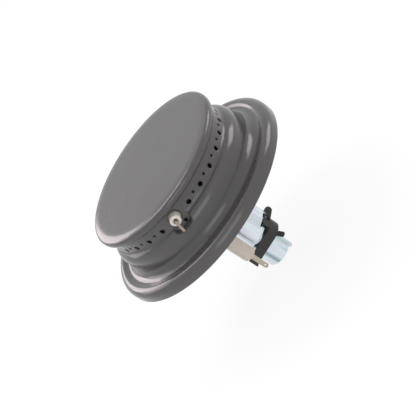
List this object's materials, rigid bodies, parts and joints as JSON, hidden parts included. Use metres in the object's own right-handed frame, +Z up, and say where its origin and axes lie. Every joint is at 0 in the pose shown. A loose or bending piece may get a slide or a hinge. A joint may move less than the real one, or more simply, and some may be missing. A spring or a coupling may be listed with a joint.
{
  "type": "gas burner head",
  "caption": "Sealed cooktop gas burner head: enamelled cap and ported drawn-steel body with spread skirt, spark electrode, and a plated mixer tube clipped to its orifice holder",
  "frame": {"origin": "middle of the gas inlet's mouth, at the lower end of the orifice holder, on the burner's axis", "axes": "+Z up the burner's axis with the cap on top; -Y towards the spark electrode; +X completes a right-handed set"},
  "size_m": [0.127, 0.127, 0.0961],
  "materials": {
    "grey_enamel": "glossy porcelain enamel",
    "plain_steel": "plain cold-rolled",
    "zinc_plate": "bright zinc plate",
    "turned_brass": "turned",
    "black_spring_steel": "matte black phosphate",
    "electrode_wire": "drawn wire",
    "white_ceramic": "glazed white",
    "cream_ceramic": "unglazed cream",
    "terminal_metal": "tinned"
  },
  "bodies": {
    "root": {"burner_cap": "grey_enamel", "burner_body": "grey_enamel", "chamber_pan": "plain_steel", "mixer_tube": "zinc_plate", "flange_rivets": "zinc_plate", "orifice_holder": "zinc_plate", "gas_orifice": "turned_brass", "spring_clip": "black_spring_steel", "electrode_rod": "electrode_wire", "electrode_bushing": "white_ceramic", "electrode_stem": "cream_ceramic", "push_nut": "plain_steel", "spade_terminal": "terminal_metal"}
  },
  "joints": []
}
